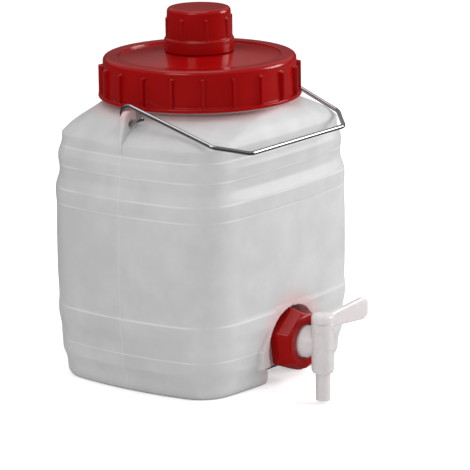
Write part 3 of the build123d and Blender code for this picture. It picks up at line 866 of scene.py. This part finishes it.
def milky_can():
    """Cloudy milk white, painted highlights on the mould's steps that fade at the corners, a lighter parting
    line, and a painted pink glow near lid and nut.
    """
    p = new_paint("milky_can")
    cloud = p.noise(9.0, 3.0)
    mottle = p.noise(42.0, 3.0, 0.6)
    grain = p.noise(900.0, 2.0)
    height = p.along("Z")
    step_highlights = 0.0
    # Painted highlights: a light band at the height of each step, where the step catches the light.
    for z, half in STEP_HIGHLIGHT_LINES:
        step_highlights = step_highlights + p.ramp(abs(height - z * MM), half * MM, 0.0)
    milk = p.mix(p.ramp(0.5 * cloud + 0.5 * mottle, 0.36, 0.64), grey(0.62), (0.70, 0.70, 0.705, 1))
    side, front = abs(p.along("X")), abs(p.along("Y"))
    # The painted highlights fade towards the corners, where the steps catch less light.
    corner = p.ramp(side, 0.066, 0.078) * p.ramp(front, 0.050, 0.062)
    parting = 0.22 * p.ramp(front, 0.0009, 0.0)
    # Random patches make the painted highlights stronger in some places and weaker in others.
    highlight_patches = p.ramp(p.noise(24.0, 2.0), 0.3, 0.6)
    fine = (step_highlights * (1 - 0.85 * corner) * (0.3 + 0.4 * highlight_patches) + parting).clamped()
    milk = p.mix(fine, milk, grey(0.88))
    # Painted pink glow of the red parts: under the lid, and round the nut.
    lid_glow = 0.75 * p.ramp(height, 0.180, 0.191)
    nut_glow = 0.7 * p.ramp(p.distance((0.0, -0.074, TAP_Z * MM)), 0.040, 0.022)
    colour = p.mix((lid_glow + nut_glow).clamped(), milk, RED_GLOW_PINK)
    return p.shade(Base_Color=colour, Roughness=0.38 + 0.1 * cloud, Subsurface_Weight=0.25,
                   Subsurface_Radius=(1.0, 0.95, 0.9), Subsurface_Scale=0.004, Specular_IOR_Level=0.35,
                   Normal=p.bump(grain + 6.0 * p.noise(60.0, 2.0), 0.12, 0.0004))


def red_plastic():
    p = new_paint("red_plastic")
    cloud = p.noise(30.0, 2.0)
    grain = p.noise(500.0, 2.0)
    colour = p.mix(cloud, (0.30, 0.0006, 0.0006, 1), (0.42, 0.001, 0.001, 1))
    return p.shade(Base_Color=colour, Roughness=0.14 + 0.08 * cloud, Specular_IOR_Level=0.3,
                   Coat_Weight=0.12, Coat_Roughness=0.04, Normal=p.bump(grain, 0.05, 0.0002))


def bright_wire():
    p = new_paint("bright_wire")
    cloud = p.noise(80.0, 3.0)
    scuff = p.noise(1400.0, 2.0)
    return p.shade(Base_Color=p.mix(cloud, (0.36, 0.36, 0.37, 1), (0.52, 0.52, 0.53, 1)), Metallic=1.0,
                   Roughness=0.07 + 0.1 * p.ramp(cloud, 0.4, 0.8), Normal=p.bump(scuff, 0.06, 0.0001))


def milky_tap():
    p = new_paint("milky_tap")
    cloud = p.noise(70.0, 2.0)
    return p.shade(Base_Color=p.mix(cloud, (0.76, 0.71, 0.71, 1), (0.82, 0.77, 0.77, 1)),
                   Roughness=0.22 + 0.1 * cloud, Subsurface_Weight=0.4, Subsurface_Radius=(1.0, 0.8, 0.8),
                   Subsurface_Scale=0.004, Coat_Weight=0.2, Coat_Roughness=0.1,
                   Normal=p.bump(p.noise(300.0), 0.06, 0.0003))


def pale_foam():
    p = new_paint("pale_foam")
    return p.shade(Base_Color=p.mix(p.noise(400.0), (0.7, 0.7, 0.68, 1), (0.8, 0.8, 0.78, 1)), Roughness=0.8,
                   Normal=p.bump(p.noise(1200.0), 0.3, 0.0003))


def white_floor():
    """Lit white with a glow for the camera, so that it meets the white backdrop and keeps a shadow.

    Mirror-like reflections see it dim.
    """
    p = new_paint("white_floor")
    seen = (p.ray("Is Camera Ray") + p.ray("Is Transmission Ray")).clamped()
    lit = p.node("ShaderNodeBsdfDiffuse", {}, {"Color": grey(0.9)})
    dim = p.node("ShaderNodeBsdfDiffuse", {}, {"Color": grey(0.1)})
    glow = p.node("ShaderNodeEmission", {}, {"Color": grey(1), "Strength": 0.45})
    glowing = p.node("ShaderNodeAddShader", {}, {0: lit, 1: glow})
    return p.finish(p.mix_shader(seen, p.mix_shader(p.ray("Is Glossy Ray"), lit, dim), glowing))


def paint(piece, material):
    piece.data.materials.clear()
    piece.data.materials.append(material)
    return piece


# Pieces on their bodies

CAN, RED, WIRE, TAP, FOAM = milky_can(), red_plastic(), bright_wire(), milky_tap(), pale_foam()

for piece, body, slot, material, nodes in (
    (can_skin(), "can", "can", CAN, ["can_body"]),
    (ear(1), "can", "can", CAN, []),
    (ear(-1), "can", "can", CAN, []),
    (spout(), "can", "can", CAN, []),
    (screw_lid(), "lid", "red_plastic", RED, ["lid"]),
    (pour_cap(), "cap", "red_plastic", RED, ["pour_cap"]),
    (bail_wire(), "bail", "wire", WIRE, ["bail"]),
    (nut(), "can", "red_plastic", RED, ["tap_nut"]),
    (stem(), "can", "tap_plastic", TAP, ["tap_body"]),
    (sleeve(), "can", "tap_plastic", TAP, ["tap_body"]),
    (plug(), "plug", "tap_plastic", TAP, ["tap_plug"]),
    (lever(), "plug", "tap_plastic", TAP, ["tap_plug"]),
):
    paint(piece, material)
    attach(piece, body)
    if nodes:
        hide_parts(*nodes)

for name in ("lid_gasket", "pour_cap_liner", "tap_gasket"):
    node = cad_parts[name]
    if node.material_slots:
        node.material_slots[0].material = FOAM


# Floor and light


def floor():
    """White floor just under z = 0, a grid over x and y that is fine near the can.

    It dips by a smooth step in front of the foot, so that the nozzle hangs clear of it.
    """
    far = np.array([300, 600, 1200, 3000, 6000])
    line = np.concatenate([-far[::-1], np.linspace(-200, 200, 81), far])
    x, y = np.meshgrid(line, line)
    dip = 13.0 * soft_step((-72 - y) / 22.0)
    points = np.stack([x, y, -dip - 0.05], -1).reshape(-1, 3)
    n = len(line)
    r, c = np.arange(n - 1)[:, None], np.arange(n - 1)[None, :]
    quads = np.stack([r * n + c, r * n + c + 1, (r + 1) * n + c + 1, (r + 1) * n + c], -1).reshape(-1, 4)
    return paint(linked("floor", points, quads.tolist()), white_floor())


def pale_room():
    """World: white to the camera, soft light for the shading, darker and graded in reflections."""
    p = Paint(bpy.data.worlds.new("pale_room"), "Generated", "ShaderNodeOutputWorld")
    graded = p.mix(p.ramp(p.along("Z"), 0.05, 0.5), grey(0.03), grey(0.36))
    soft = p.node("ShaderNodeBackground", {}, {"Color": grey(1), "Strength": 0.46})
    shiny = p.node("ShaderNodeBackground", {}, {"Color": graded, "Strength": 1.0})
    white = p.node("ShaderNodeBackground", {}, {"Color": grey(1), "Strength": 1.0})
    unseen = p.mix_shader(p.ray("Is Glossy Ray"), soft, shiny)
    return p.finish(p.mix_shader(p.ray("Is Camera Ray"), unseen, white))


def lamp(name, place, aim, size, power):
    """Soft square area lamp at place (metres), turned towards aim."""
    data = bpy.data.lights.new(name, "AREA")
    data.shape = "RECTANGLE"
    data.size = data.size_y = size
    data.energy = power
    light = bpy.data.objects.new(name, data)
    scene.collection.objects.link(light)
    light.location = place
    light.rotation_euler = (Vector(aim) - Vector(place)).to_track_quat("-Z", "Y").to_euler()


floor()

scene = bpy.context.scene
scene.view_settings.view_transform = "Standard"
scene.world = pale_room()
lamp("window_right", (1.4, -1.2, 0.8), (0, 0, 0.12), 0.9, 22)
lamp("window_left", (-1.6, -0.3, 1.1), (0, 0, 0.14), 0.8, 6.5)
lamp("ceiling", (-0.1, 0.1, 1.7), (0, 0, 0.1), 1.2, 7)


# Camera: fitted to the photograph, in degrees, metres and pixels

AZIMUTH, ELEVATION, ROLL = math.radians(-52.54), math.radians(13.08), math.radians(-0.94)
DISTANCE = 2.13037
TARGET = Vector((0, 0, 0.1158))
FOCAL_PX, FRAME_PX = 3090.14, 470
PRINCIPAL_PX = (201.81, 199.71)
SENSOR_MM = 36

towards = Vector((math.sin(AZIMUTH) * math.cos(ELEVATION), -math.cos(AZIMUTH) * math.cos(ELEVATION),
                  math.sin(ELEVATION)))
right = Vector((math.cos(AZIMUTH), math.sin(AZIMUTH), 0))
right_rolled = math.cos(ROLL) * right + math.sin(ROLL) * towards.cross(right)
up_rolled = towards.cross(right_rolled)
camera_data = bpy.data.cameras.new("camera")
camera_data.sensor_width = SENSOR_MM
camera_data.lens = SENSOR_MM * FOCAL_PX / FRAME_PX
camera_data.shift_x = (FRAME_PX / 2 - PRINCIPAL_PX[0]) / FRAME_PX
camera_data.shift_y = (PRINCIPAL_PX[1] - FRAME_PX / 2) / FRAME_PX
camera_data.clip_end = 50
camera = bpy.data.objects.new("camera", camera_data)
turn = Matrix((right_rolled, up_rolled, towards)).transposed()
camera.matrix_world = Matrix.Translation(TARGET + towards * DISTANCE) @ turn.to_4x4()
scene.collection.objects.link(camera)
scene.camera = camera
